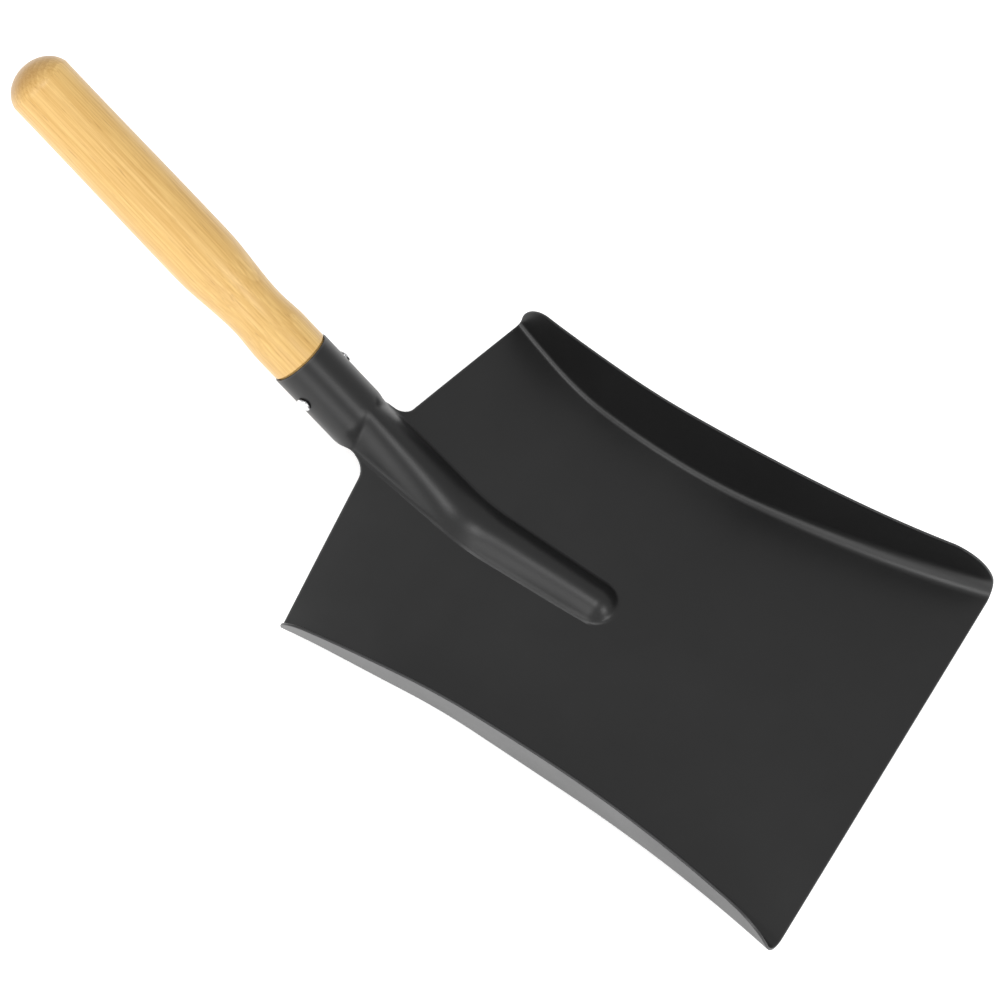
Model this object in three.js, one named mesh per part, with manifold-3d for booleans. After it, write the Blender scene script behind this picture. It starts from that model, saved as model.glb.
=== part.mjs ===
// Hand scoop shovel: one pressed steel sheet (pan, side walls, stiffening rib and rolled socket),
// a turned wooden handle with its spigot in the socket, and the rivet that pins the two together.
//
// Frame: X forward to the front edge, Y to the left, Z up. The shovel lies as it does on a floor, on the
// flat middle run of its pan, with the origin on that floor below the middle of its bounding box.
// Units are millimetres. Heights in the pan are counted from the upper face of the flat middle run.

import * as THREE from 'three';
import Module from 'manifold-3d';

const DEGREE = Math.PI / 180;

// ---- Sheet steel -------------------------------------------------------------------------------
const sheet = 1.2;

// ---- Pan: outline seen from above --------------------------------------------------------------
const panLength = 271.6;            // back corners to front edge, along X
const backHalfWidth = 103.3;        // fold line at the back corners
const waistHalfWidth = 89.8;        // fold line at the waist
const frontHalfWidth = 109.4;       // fold line at the front edge
const waistX = 102;                 // where the pan is narrowest
const shoulderSweep = 15.8;         // how far the shoulder line would run back to the centre plane

// ---- Pan: height of the centre line and of the fold line ---------------------------------------
const shoulderCrown = 29.8;         // shoulder line, carried on to the centre plane
const backCornerHeight = 12.2;      // shoulder line at the back corners
const frontEdgeHeight = 26.4;
const crownRun = 55;                // length of the slope behind the flat run, on the centre plane
const cornerRun = 44;               // the same slope beside the side walls
const crownBlend = 12;              // half length of the bend between that slope and the flat run
const cornerBlend = 18;
const frontRise = 130;              // where the front slope would leave the flat run
const frontBlend = 25;
const dishDepth = 1.5;              // rise of the floor beside the side walls
const flatHalfWidth = 45;           // the floor is level across out to here

// ---- Side walls --------------------------------------------------------------------------------
const wallAngleBack = 79 * DEGREE;  // from level, at the back corners
const wallAngleFront = 85 * DEGREE; // from level, at the front edge
const rimHeight = 37.6;             // rim above the flat run, at the waist
const rimSlope = 0.085;             // rise of the rim towards the front
const rimLift = -3;                 // change in the height of the rim at its front end
const rimLiftStart = 140;
const foldRadiusBack = 3;
const foldRadiusWaist = 4;
const foldRadiusFront = 9;
const wallCornerBack = 13;          // rounded ends of the walls
const wallCornerFront = 29;

// ---- Socket, and the neck that joins it to the pan ---------------------------------------------
const socketRadius = 16;            // outside
const socketAngle = 33.3 * DEGREE;  // handle line above level
const mouthX = -64.4;               // centre of the socket's mouth
const mouthHeight = 55.2;
const seamGap = 3;                  // open seam along the underside
const flapStart = 28;               // from the mouth to where the flaps start to be cut back
const neckStart = 33;               // from the mouth to where the round section starts to open
const neckFlare = 0.3;              // of the neck beyond the socket, seen from above
const neckTurn = 80.5 * DEGREE;     // how far round from its crest the neck's sheet reaches
const neckFillet = 7;               // between the neck and the shoulder line

// ---- Rib pressed up in the middle of the pan ---------------------------------------------------
const ribHeight = 7;
const ribMarginNeck = 1.2;          // level sheet left beside the rib at the neck
const ribHalfWidthNose = 11.3;
const ribNoseX = 124.2;             // front end of the rib
const ribCrestBlend = 10;           // half length of the bend in the crest
const ribFootBlend = 1.6;           // half width of the bend at the foot

// ---- Handle ------------------------------------------------------------------------------------
const handleLength = 185;           // from the mouth of the socket to the tip
const collarStep = 0.6;             // the wood is this much inside the socket's outside at the mouth
const handleCollarLength = 13;
const handleWaistRadius = 14.3;
const handleWaistAt = 31;           // from the mouth
const handleSwellRadius = 16.7;
const handleSwellAt = 68;
const handleEndRadius = 15.9;
const handleDome = 11;              // depth of the domed tip
const spigotInset = 2;              // the spigot stops this short of the neck
const spigotChamfer = 3;
const spigotClearance = 0.5;        // between the wood and the steel round it
const mouthGap = 0.5;               // between the wood's collar and the socket's mouth

// ---- Rivet -------------------------------------------------------------------------------------
const rivetAt = 16;                 // from the mouth
const rivetRise = 1;                // above the handle line
const rivetRadius = 2.4;
const rivetHeadRadius = 3.6;
const rivetHeadHeight = 1.5;
const rivetClearance = 0.3;         // round the shank, and under the heads

// ---- Facets ------------------------------------------------------------------------------------
const turnSteps = 40;               // round the handle
const rivetSteps = 24;

/** A slope that starts at zero: 0 before -blend, then a parabola, then a straight rise of 1 in 1. */
function ramp(distance, blend) {
  if (distance <= -blend) return 0;
  if (distance >= blend) return distance;
  return (distance + blend) ** 2 / (4 * blend);
}

/** Smooth step from 0 to 1 while value goes from start to end. */
function ease(value, start, end) {
  return THREE.MathUtils.smoothstep(value, start, end);
}

/** Evenly spaced values from start to end, without start. */
function steps(start, end, count) {
  return Array.from({ length: count }, (_, i) => start + ((end - start) * (i + 1)) / count);
}

// ==== Pan =======================================================================================

/** Straight shoulder line, as the X where the pan starts at a distance y from the centre plane. */
function shoulderX(y) {
  return -shoulderSweep * (1 - y / backHalfWidth);
}

/** Distance forward of the shoulder line, stretched so that the front edge is at panLength. */
function runFromShoulder(x, y) {
  const start = shoulderX(Math.min(y, backHalfWidth));
  return ((x - start) * panLength) / (panLength - start);
}

/** Half width of the fold line. */
function foldHalfWidth(x) {
  const wide = x < waistX ? backHalfWidth : frontHalfWidth;
  const reach = x < waistX ? (waistX - x) / waistX : (x - waistX) / (panLength - waistX);
  return waistHalfWidth + (wide - waistHalfWidth) * reach ** 2;
}

/** Height of the front slope. */
function frontSlope(run) {
  return (frontEdgeHeight * ramp(run - frontRise, frontBlend)) / (panLength - frontRise);
}

/** Upper face of the pan without its rib, at x and at a distance y from the centre plane. */
function floorHeight(x, y) {
  const run = runFromShoulder(x, y);
  const centre = (shoulderCrown * ramp(crownRun - run, crownBlend)) / crownRun;
  const side = (backCornerHeight * ramp(cornerRun - run, cornerBlend)) / cornerRun;
  const across = y / backHalfWidth;
  const reach = Math.max(0, (y - flatHalfWidth) / (foldHalfWidth(x) - flatHalfWidth));
  const dish = dishDepth * ease(x, 0, waistX) * (1 - ease(x, waistX, panLength)) * reach ** 2;
  return centre * (1 - across) + side * across + frontSlope(run) + dish;
}

// ==== Rib =======================================================================================

const neckHalfWidth = socketRadius + neckFlare;
const ribHalfWidthNeck = neckHalfWidth - ribMarginNeck;
const socketSlope = Math.tan(socketAngle);
const axis = new THREE.Vector3(Math.cos(socketAngle), 0, -Math.sin(socketAngle));
const axisUp = new THREE.Vector3(Math.sin(socketAngle), 0, Math.cos(socketAngle));
const mouth = new THREE.Vector3(mouthX, 0, mouthHeight);
const crestAtMouth = mouth.clone().addScaledVector(axisUp, socketRadius);
const crestBendX = crestAtMouth.x + (crestAtMouth.z - ribHeight) / socketSlope;
const ribNoseCentre = ribNoseX - ribHalfWidthNose;

/** Goes from 0 at the neck to 1 at the nose of the rib. */
function alongRib(x) {
  return THREE.MathUtils.clamp((x + shoulderSweep) / (ribNoseCentre + shoulderSweep), 0, 1);
}

function ribHalfWidth(x) {
  return THREE.MathUtils.lerp(ribHalfWidthNeck, ribHalfWidthNose, alongRib(x));
}

/** Height of the rib over the floor, a parabola across. Its crest carries on the socket's top line. */
function ribRise(x, y) {
  const crest = ribHeight + socketSlope * ramp(crestBendX - x, ribCrestBlend);
  const rise = crest - floorHeight(Math.min(x, ribNoseCentre), 0);
  const half = ribHalfWidth(x);
  const beside = Math.hypot(y, Math.max(0, x - ribNoseCentre)) / half;
  return (rise * ramp((half / 2) * (1 - beside ** 2), ribFootBlend)) / (half / 2);
}

function panPoint(x, y) {
  const off = Math.abs(y);
  return new THREE.Vector3(x, y, floorHeight(x, off) + ribRise(x, off));
}

// ==== Side walls ================================================================================

function foldRadius(x) {
  const back = THREE.MathUtils.lerp(foldRadiusBack, foldRadiusWaist, ease(x, 0, waistX));
  return back + (foldRadiusFront - foldRadiusWaist) * ease(x, waistX, panLength);
}

function rimLine(x) {
  return rimHeight + rimSlope * (x - waistX) + rimLift * ease(x, rimLiftStart, panLength);
}

function wallAngle(x) {
  return THREE.MathUtils.lerp(wallAngleBack, wallAngleFront, ease(x, 0, panLength));
}

/** Section of the fold at x: where the floor ends, its slope there, and the arc that turns up. */
function foldSection(x) {
  const radius = foldRadius(x);
  const width = foldHalfWidth(x);
  const tilt = Math.atan(floorHeight(x, width) - floorHeight(x, width - 1));
  const start = width - radius * Math.tan((wallAngle(x) - tilt) / 2);
  const slope = Math.atan((floorHeight(x, start) - floorHeight(x, start - 0.1)) / 0.1);
  return { radius, start, slope, height: floorHeight(x, start) };
}

/** Point on the fold, turned a part of the way from the floor (0) to the wall (1). */
function foldPoint(x, part) {
  const { radius, start, slope, height } = foldSection(x);
  const angle = THREE.MathUtils.lerp(slope, wallAngle(x), part);
  const y = start + radius * (Math.sin(angle) - Math.sin(slope));
  return new THREE.Vector3(x, y, height + radius * (Math.cos(slope) - Math.cos(angle)));
}

/** Point on the wall, a part of the way from the fold (0) to the rim (1). */
function wallPoint(x, part) {
  const foot = foldPoint(x, 1);
  const rise = (rimLine(x) - foot.z) * part;
  return new THREE.Vector3(x, foot.y + rise / Math.tan(wallAngle(x)), foot.z + rise);
}

/** How far a rounded corner cuts into the sheet, at a distance from the corner's edge. */
function cornerCut(distance, radius) {
  if (distance >= radius) return 0;
  return radius - Math.sqrt(radius ** 2 - (radius - Math.max(0, distance)) ** 2);
}

// ==== Columns of the sheet, from the centre plane out to the rim ================================
// A column keeps its place across the sheet from the shoulder to the front edge. Each gives its point
// at x, the X where it starts at the back, and the X where it ends at the front.

const neckX = shoulderX(neckHalfWidth) - neckFillet;

function ribColumn(part) {
  const at = (x) => panPoint(x, part * ribHalfWidth(x));
  return { at, back: neckX, front: panLength, neckPart: (part * ribHalfWidthNeck) / neckHalfWidth };
}

/** Column on the floor, at a distance from the neck's edge where it starts. */
function floorColumn(offset) {
  const startY = neckHalfWidth + offset;
  const part = (startY - ribHalfWidthNeck) / (foldSection(0).start - ribHalfWidthNeck);
  const at = (x) => panPoint(x, THREE.MathUtils.lerp(ribHalfWidth(x), foldSection(x).start, part));
  return { at, back: shoulderX(startY) - cornerCut(offset, neckFillet), front: panLength };
}

/** Length of wall, and of fold and wall, that lies above a column at x. */
function wallLength(x) {
  return (rimLine(x) - foldPoint(x, 1).z) / Math.sin(wallAngle(x));
}

function foldColumn(part) {
  const above = (x) => wallLength(x) + (1 - part) * (wallAngle(x) - foldSection(x).slope) * foldRadius(x);
  const back = shoulderX(Math.min(foldPoint(0, part).y, backHalfWidth));
  return { at: (x) => foldPoint(x, part), back: back + cornerCut(above(0), wallCornerBack),
    front: panLength - cornerCut(above(panLength), wallCornerFront) };
}

function wallColumn(part) {
  const above = (x) => (1 - part) * wallLength(x);
  return { at: (x) => wallPoint(x, part), back: cornerCut(above(0), wallCornerBack),
    front: panLength - cornerCut(above(panLength), wallCornerFront) };
}

/** Parts of the way that crowd towards 1, for the rounded corners. */
function crowded(count) {
  return steps(0, 1, count).map((part) => Math.sin((part * Math.PI) / 2));
}

const floorSpan = foldSection(0).start - neckHalfWidth;
const filletOffsets = [0, ...steps(0, 1, 4).map((part) => neckFillet * (1 - Math.cos((part * Math.PI) / 2)))];
const floorOffsets = steps(neckFillet, floorSpan, 5);
const neckColumns = [0, ...steps(0, 1, 12)].map(ribColumn);
neckColumns.push({ ...floorColumn(0), neckPart: 1 });
const columns = [
  ...neckColumns,
  ...[...filletOffsets.slice(1), ...floorOffsets].map(floorColumn),
  ...steps(0, 1, 4).map(foldColumn),
  ...crowded(4).map(wallColumn),
];

// Stations along the pan, as parts of the way from the neck to the front edge: close together over the
// bend behind the flat run and round the nose of the rib.
const stationXs = [neckX, ...steps(neckX, 20, 7), ...steps(20, 48, 6), ...steps(48, ribNoseCentre - 2, 5),
  ...steps(ribNoseCentre - 2, ribNoseX + 2, 8), ...steps(ribNoseX + 2, panLength, 8)];
const stations = stationXs.map((x) => (x - neckX) / (panLength - neckX));

// ==== Neck and socket ===========================================================================

const seamHalfLength = socketRadius * (Math.PI - Math.asin(seamGap / 2 / socketRadius));
const neckEdge = panPoint(neckX, neckHalfWidth).sub(mouth);
const neckRun = neckEdge.dot(axis);                 // from the mouth to the start of the neck

/** Developed half width of the sheet at a distance from the mouth: the flaps are cut back to the neck. */
function socketHalfLength(run) {
  return THREE.MathUtils.lerp(seamHalfLength, socketRadius * neckTurn, ease(run, flapStart, neckRun));
}

/** Outside of the socket, at a distance from the mouth and a part of the way to the seam. */
function socketPoint(run, part) {
  const turn = (part * socketHalfLength(run)) / socketRadius;
  const point = mouth.clone().addScaledVector(axis, run);
  point.addScaledVector(axisUp, socketRadius * Math.cos(turn));
  point.y = socketRadius * Math.sin(turn);
  return point;
}

/** Point of the sheet behind the pan: the round section opens into the rib and its flanks. */
function neckPoint(run, part, side) {
  const behind = neckX - (neckRun - run) * axis.x;
  const open = panPoint(behind, part * neckHalfWidth);
  const point = socketPoint(run, part).lerp(open, ease(run, neckStart, neckRun));
  point.y *= side;
  return point;
}

// ==== Sheet as a closed solid ===================================================================

/** Closes a face into a sheet: the face, the same face set back by its thickness, and the cut edge. */
function thicken(points, triangles, thickness) {
  const face = new THREE.BufferGeometry().setFromPoints(points);
  face.setIndex(triangles.flat());
  face.computeVertexNormals();
  const normal = new THREE.Vector3();
  const backs = points.map((point, i) => {
    normal.fromBufferAttribute(face.getAttribute('normal'), i);
    return point.clone().addScaledVector(normal, -thickness);
  });
  const count = points.length;
  const edges = new Set(triangles.flatMap(([a, b, c]) => [`${a} ${b}`, `${b} ${c}`, `${c} ${a}`]));
  const closed = triangles.flatMap(([a, b, c]) => [a, b, c, c + count, b + count, a + count]);
  for (const edge of edges) {
    const [a, b] = edge.split(' ').map(Number);
    if (!edges.has(`${b} ${a}`)) closed.push(b, a, a + count, b, a + count, b + count);
  }
  const geometry = new THREE.BufferGeometry().setFromPoints([...points, ...backs]);
  geometry.setIndex(closed);
  return geometry;
}

function bladeSheet() {
  const points = [];
  const triangles = [];
  const last = columns.length - 1;
  const add = (point) => points.push(point) - 1;

  /** Row of point numbers, keyed by column from the right rim (-last) to the left rim (last). */
  const row = (reach, pointAt) => {
    const numbers = new Map();
    for (let j = -reach; j <= reach; j += 1) numbers.set(j, add(pointAt(Math.abs(j), j < 0 ? -1 : 1)));
    return numbers;
  };

  /** Two triangles for each pair of neighbours, with the diagonals mirrored about the centre plane. */
  const join = (behind, ahead, reach) => {
    for (let j = -reach; j < reach; j += 1) {
      const [a, b, c, d] = [behind.get(j), ahead.get(j), ahead.get(j + 1), behind.get(j + 1)];
      if (j < 0) triangles.push([a, b, c], [a, c, d]);
      else triangles.push([a, b, d], [b, c, d]);
    }
  };

  const panRow = (part) => row(last, (j, side) => {
    const { at, back, front } = columns[j];
    const point = at(THREE.MathUtils.lerp(back, front, part));
    point.y *= side;
    return point;
  });
  const panRows = stations.map(panRow);
  panRows.slice(1).forEach((ahead, i) => join(panRows[i], ahead, last));

  const neckReach = neckColumns.length - 1;
  const runs = [...steps(neckRun, flapStart, 10), ...steps(flapStart, 0, 3)];
  let ahead = panRows[0];
  for (const run of runs) {
    const behind = row(neckReach, (j, side) => neckPoint(run, neckColumns[j].neckPart, side));
    join(behind, ahead, neckReach);
    ahead = behind;
  }
  return thicken(points, triangles, sheet);
}

// ==== Handle and rivet ==========================================================================

/** Turns a shape whose Y runs along the handle, from the mouth to the tip, into the handle's place. */
function placeOnHandle(geometry) {
  const turn = new THREE.Matrix4().makeBasis(axisUp.clone(), axis.clone().negate(), new THREE.Vector3(0, -1, 0));
  turn.setPosition(mouth);
  return geometry.applyMatrix4(turn);
}

const collarRadius = socketRadius - collarStep;

/** Radius of the exposed handle at a distance from the mouth, without the domed tip. */
function handleRadius(run) {
  const waist = ease(run, handleCollarLength, handleWaistAt);
  const swell = ease(run, handleWaistAt, handleSwellAt);
  const end = ease(run, handleSwellAt, handleLength - handleDome);
  return collarRadius + (handleWaistRadius - collarRadius) * waist
    + (handleSwellRadius - handleWaistRadius) * swell + (handleEndRadius - handleSwellRadius) * end;
}

function handleBlank() {
  const spigotRadius = socketRadius - sheet - spigotClearance;
  const spigotEnd = spigotInset - neckStart;
  const profile = [
    new THREE.Vector2(0, spigotEnd),
    new THREE.Vector2(spigotRadius - spigotChamfer, spigotEnd),
    new THREE.Vector2(spigotRadius, spigotEnd + spigotChamfer),
    new THREE.Vector2(spigotRadius, mouthGap),
    new THREE.Vector2(collarRadius, mouthGap),
  ];
  for (const run of steps(handleCollarLength / 2, handleLength - handleDome, 22)) {
    profile.push(new THREE.Vector2(handleRadius(run), run));
  }
  for (const turn of steps(0, Math.PI / 2, 7)) {
    const radius = handleEndRadius * Math.max(0, Math.cos(turn));
    profile.push(new THREE.Vector2(radius, handleLength - handleDome * (1 - Math.sin(turn))));
  }
  profile[profile.length - 1].x = 0;
  return placeOnHandle(new THREE.LatheGeometry(profile, turnSteps));
}

const rivetCentre = mouth.clone().addScaledVector(axis, rivetAt).addScaledVector(axisUp, rivetRise);

/** Cylinder across the socket at the rivet, along Y. */
function crossPin(radius, length) {
  const pin = new THREE.CylinderGeometry(radius, radius, length, rivetSteps);
  return pin.translate(rivetCentre.x, rivetCentre.y, rivetCentre.z);
}

/** Shank with a domed head at each end, as one turned shape along Y. */
function rivetShape() {
  const seat = socketRadius + rivetClearance;
  const tip = seat + rivetHeadHeight;
  const dome = steps(0, Math.PI / 2, 5).map((turn) => new THREE.Vector2(
    rivetHeadRadius * Math.max(0, Math.cos(turn)), seat + rivetHeadHeight * Math.sin(turn)));
  dome[dome.length - 1].set(0, tip);
  const top = [new THREE.Vector2(rivetRadius, seat), new THREE.Vector2(rivetHeadRadius, seat), ...dome];
  const bottom = top.map((point) => new THREE.Vector2(point.x, -point.y)).reverse();
  const rivet = new THREE.LatheGeometry([...bottom, ...top], rivetSteps);
  return rivet.translate(rivetCentre.x, rivetCentre.y, rivetCentre.z);
}

// ==== Cuts ======================================================================================

const wasm = await Module();
wasm.setup();

/** Closed solid from a geometry, with the points that lie together merged. */
function toSolid(geometry) {
  const place = geometry.getAttribute('position');
  const index = geometry.getIndex();
  const numbers = new Map();
  const merged = [];
  const corner = Array.from({ length: place.count }, (_, i) => {
    const point = [place.getX(i), place.getY(i), place.getZ(i)];
    const key = point.map((value) => Math.round(value * 1e5)).join(' ');
    if (!numbers.has(key)) numbers.set(key, merged.push(point) - 1);
    return numbers.get(key);
  });
  const triVerts = [];
  for (let i = 0; i < index.count; i += 3) {
    const [a, b, c] = [0, 1, 2].map((k) => corner[index.getX(i + k)]);
    if (a !== b && b !== c && c !== a) triVerts.push(a, b, c);
  }
  return new wasm.Manifold(new wasm.Mesh({
    numProp: 3, vertProperties: new Float32Array(merged.flat()), triVerts: new Uint32Array(triVerts),
  }));
}

function toGeometry(solid) {
  const { vertProperties, triVerts } = solid.getMesh();
  const geometry = new THREE.BufferGeometry();
  geometry.setAttribute('position', new THREE.BufferAttribute(vertProperties, 3));
  geometry.setIndex(new THREE.BufferAttribute(triVerts, 1));
  geometry.computeVertexNormals();
  return geometry;
}

const rivetHole = toSolid(crossPin(rivetRadius + rivetClearance, 4 * socketRadius));

// ==== Assembly ==================================================================================

const paint = new THREE.MeshStandardMaterial({ color: 0x363636, roughness: 0.45, metalness: 0.1 });
const wood = new THREE.MeshStandardMaterial({ color: 0xdcae6a, roughness: 0.4, metalness: 0 });
const steel = new THREE.MeshStandardMaterial({ color: 0xc9c9cb, roughness: 0.3, metalness: 1 });

function piece(name, geometry, material) {
  const mesh = new THREE.Mesh(geometry, material);
  mesh.name = name;
  return mesh;
}

const group = new THREE.Group();
group.add(piece('blade', toGeometry(toSolid(bladeSheet()).subtract(rivetHole)), paint));
group.add(piece('handle', toGeometry(toSolid(handleBlank()).subtract(rivetHole)), wood));
group.add(piece('rivet', toGeometry(toSolid(rivetShape())), steel));

const box = new THREE.Box3().setFromObject(group);
group.position.set(-(box.min.x + box.max.x) / 2, 0, sheet);

export default group;
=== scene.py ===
"""Hand scoop shovel: a pressed steel pan with a rolled socket, a turned wooden handle, and their rivet."""

import logging
import math
from dataclasses import dataclass, field
from enum import Enum
from typing import Any, Callable, Sequence

import bmesh
import bpy
from mathutils import Matrix, Vector
from mathutils.kdtree import KDTree


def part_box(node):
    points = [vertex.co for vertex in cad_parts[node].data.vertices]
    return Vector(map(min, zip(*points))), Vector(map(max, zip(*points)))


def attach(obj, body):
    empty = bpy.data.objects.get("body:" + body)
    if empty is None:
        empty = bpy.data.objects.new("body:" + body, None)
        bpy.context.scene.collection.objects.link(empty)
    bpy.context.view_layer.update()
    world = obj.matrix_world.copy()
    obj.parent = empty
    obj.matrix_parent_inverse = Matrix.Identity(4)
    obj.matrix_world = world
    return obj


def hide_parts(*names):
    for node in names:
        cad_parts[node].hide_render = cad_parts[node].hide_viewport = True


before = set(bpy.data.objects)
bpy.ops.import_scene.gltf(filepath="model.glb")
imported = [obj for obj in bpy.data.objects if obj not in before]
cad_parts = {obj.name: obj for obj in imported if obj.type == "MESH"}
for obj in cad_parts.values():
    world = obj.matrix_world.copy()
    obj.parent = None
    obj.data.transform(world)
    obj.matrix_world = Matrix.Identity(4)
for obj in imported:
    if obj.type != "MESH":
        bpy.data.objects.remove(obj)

MM = 0.001
log = logging.getLogger("shovel")


class Slot(Enum):
    """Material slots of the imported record."""

    PAINT = "blade_paint"
    WOOD = "handle_wood"
    STEEL = "rivet_steel"


# ==== Small rules that the shapes share =========================================================

def ramp(distance: float, blend: float) -> float:
    """Slope that starts softly.

    Args:
        distance: How far past the start of the slope.
        blend: Half length of the bend at its start.

    Returns:
        0 before the bend, a parabola in it, then a rise of 1 in 1.
    """
    if distance <= -blend:
        return 0.0
    if distance >= blend:
        return distance
    return (distance + blend) ** 2 / (4 * blend)


def clamp(value: float, low: float = 0.0, high: float = 1.0) -> float:
    """Keeps value between low and high."""
    return max(low, min(high, value))


def lerp(start: float, end: float, part: float) -> float:
    """Value a part of the way from start to end."""
    return start + (end - start) * part


def ease(value: float, start: float, end: float) -> float:
    """Smooth step from 0 to 1 while value goes from start to end."""
    part = clamp((value - start) / (end - start))
    return part * part * (3 - 2 * part)


def spread(start: float, end: float, count: int) -> list[float]:
    """Evenly spaced values from start to end, without start."""
    return [start + (end - start) * (i + 1) / count for i in range(count)]


def crowded(count: int) -> list[float]:
    """Parts of the way from 0 to 1, without 0, that crowd towards 1."""
    return [math.sin(part * math.pi / 2) for part in spread(0, 1, count)]


def corner_cut(distance: float, radius: float) -> float:
    """How far a rounded corner cuts into the sheet.

    Args:
        distance: From the edge beside the corner.
        radius: Of the corner.

    Returns:
        The length cut away, from 0 at the corner's tangent to radius at the edge.
    """
    if distance >= radius:
        return 0.0
    return radius - math.sqrt(radius ** 2 - (radius - max(0.0, distance)) ** 2)


# ==== Shape of the pressed blade ================================================================

@dataclass(frozen=True)
class HandleLine:
    """The straight line that the socket, the handle and the rivet share, in millimetres.

    Attributes:
        radius: Outside of the socket.
        angle: Of the line above level.
        mouth_x: Centre of the socket's mouth, forward of the pan's back corners.
        mouth_height: Centre of the mouth, over the pan's flat run.
        rivet_at: From the mouth to the rivet.
        rivet_rise: Of the rivet above the line.
    """

    radius: float = 16.0
    angle: float = math.radians(33.3)
    mouth_x: float = -64.4
    mouth_height: float = 55.2
    rivet_at: float = 16.0
    rivet_rise: float = 1.0

    @property
    def forward(self) -> Vector:
        """Direction from the mouth to the pan."""
        return Vector((math.cos(self.angle), 0, -math.sin(self.angle)))

    @property
    def upward(self) -> Vector:
        """Direction square to the line, on its upper side."""
        return Vector((math.sin(self.angle), 0, math.cos(self.angle)))

    @property
    def mouth(self) -> Vector:
        """Centre of the mouth."""
        return Vector((self.mouth_x, 0, self.mouth_height))

    @property
    def rivet(self) -> Vector:
        """Centre of the rivet."""
        return self.mouth + self.forward * self.rivet_at + self.upward * self.rivet_rise

    @property
    def slope(self) -> float:
        """Fall of the line for each millimetre forward."""
        return math.tan(self.angle)


@dataclass(frozen=True)
class PanShape:
    """Upper face of the pressed pan, in millimetres. Heights are over its flat middle run.

    Attributes:
        line: The socket that the rib runs into.
        length: Back corners to front edge.
        back_half: Half width of the fold line at the back corners.
        waist_half: Half width of the fold line at the waist.
        front_half: Half width of the fold line at the front edge.
        waist_x: Where the pan is narrowest.
        shoulder_sweep: How far the shoulder line would run back to the centre plane.
        shoulder_crown: Height of the shoulder line, carried on to the centre plane.
        back_corner: Height of the back corners.
        front_edge: Height of the front edge.
        crown_run: Length of the back slope on the centre plane.
        corner_run: Length of the back slope beside the walls.
        crown_blend: Half length of the bend at the foot of the back slope, on the centre plane.
        corner_blend: The same beside the walls.
        front_rise: Where the front slope would leave the flat run.
        front_blend: Half length of that bend.
        dish_depth: Rise of the floor beside the walls.
        flat_half: The floor is level across out to here.
        wall_angle_back: Of the side walls at the back corners, from level.
        wall_angle_front: Of the side walls at the front edge, from level.
        rim_height: Of the rim at the waist.
        rim_slope: Rise of the rim towards the front.
        rim_lift: Change in the height of the rim at its front end.
        rim_lift_start: Where that change starts.
        fold_back: Fold radius at the back.
        fold_waist: Fold radius at the waist.
        fold_front: Fold radius at the front.
        wall_corner_back: Radius of the walls' back corners.
        wall_corner_front: Radius of the walls' front corners.
        neck_flare: Of the neck beyond the socket, seen from above.
        rib_height: Of the rib's level crest.
        rib_margin: Level sheet left beside the rib at the neck.
        rib_half_nose: Half width of the rib at its nose.
        rib_nose_x: Front end of the rib.
        rib_crest_blend: Half length of the bend in the crest.
        rib_foot_blend: Half width of the bend at the foot.
    """

    line: HandleLine = field(default_factory=HandleLine)
    length: float = 271.6
    back_half: float = 103.3
    waist_half: float = 89.8
    front_half: float = 109.4
    waist_x: float = 102.0
    shoulder_sweep: float = 15.8
    shoulder_crown: float = 29.8
    back_corner: float = 12.2
    front_edge: float = 26.4
    crown_run: float = 55.0
    corner_run: float = 44.0
    crown_blend: float = 12.0
    corner_blend: float = 18.0
    front_rise: float = 130.0
    front_blend: float = 25.0
    dish_depth: float = 1.5
    flat_half: float = 45.0
    wall_angle_back: float = math.radians(79)
    wall_angle_front: float = math.radians(85)
    rim_height: float = 37.6
    rim_slope: float = 0.085
    rim_lift: float = -3.0
    rim_lift_start: float = 140.0
    fold_back: float = 3.0
    fold_waist: float = 4.0
    fold_front: float = 9.0
    wall_corner_back: float = 13.0
    wall_corner_front: float = 29.0
    neck_flare: float = 0.3
    rib_height: float = 7.0
    rib_margin: float = 1.2
    rib_half_nose: float = 11.3
    rib_nose_x: float = 124.2
    rib_crest_blend: float = 10.0
    rib_foot_blend: float = 1.6

    # ---- Floor ----

    def shoulder_x(self, y: float) -> float:
        """X of the straight shoulder line at a distance y from the centre plane."""
        return -self.shoulder_sweep * (1 - y / self.back_half)

    def fold_half(self, x: float) -> float:
        """Half width of the fold line.

        Args:
            x: Forward of the back corners.

        Returns:
            The half width, which is least at the waist.
        """
        if x < self.waist_x:
            wide, reach = self.back_half, (self.waist_x - x) / self.waist_x
        else:
            wide, reach = self.front_half, (x - self.waist_x) / (self.length - self.waist_x)
        return self.waist_half + (wide - self.waist_half) * reach ** 2

    def floor_height(self, x: float, y: float) -> float:
        """Upper face of the pan without its rib.

        Args:
            x: Forward of the back corners.
            y: Distance from the centre plane.

        Returns:
            Height over the flat run.
        """
        start = self.shoulder_x(min(y, self.back_half))
        run = (x - start) * self.length / (self.length - start)
        centre = self.shoulder_crown * ramp(self.crown_run - run, self.crown_blend) / self.crown_run
        side = self.back_corner * ramp(self.corner_run - run, self.corner_blend) / self.corner_run
        front = self.front_edge * ramp(run - self.front_rise, self.front_blend)
        across = y / self.back_half
        reach = max(0.0, (y - self.flat_half) / (self.fold_half(x) - self.flat_half))
        dish = ease(x, 0, self.waist_x) * (1 - ease(x, self.waist_x, self.length)) * reach ** 2
        return (centre * (1 - across) + side * across + front / (self.length - self.front_rise)
                + self.dish_depth * dish)

    # ---- Rib ----

    @property
    def neck_half(self) -> float:
        """Half width of the neck, seen from above."""
        return self.line.radius + self.neck_flare

    @property
    def rib_half_neck(self) -> float:
        """Half width of the rib at the neck."""
        return self.neck_half - self.rib_margin

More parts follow.
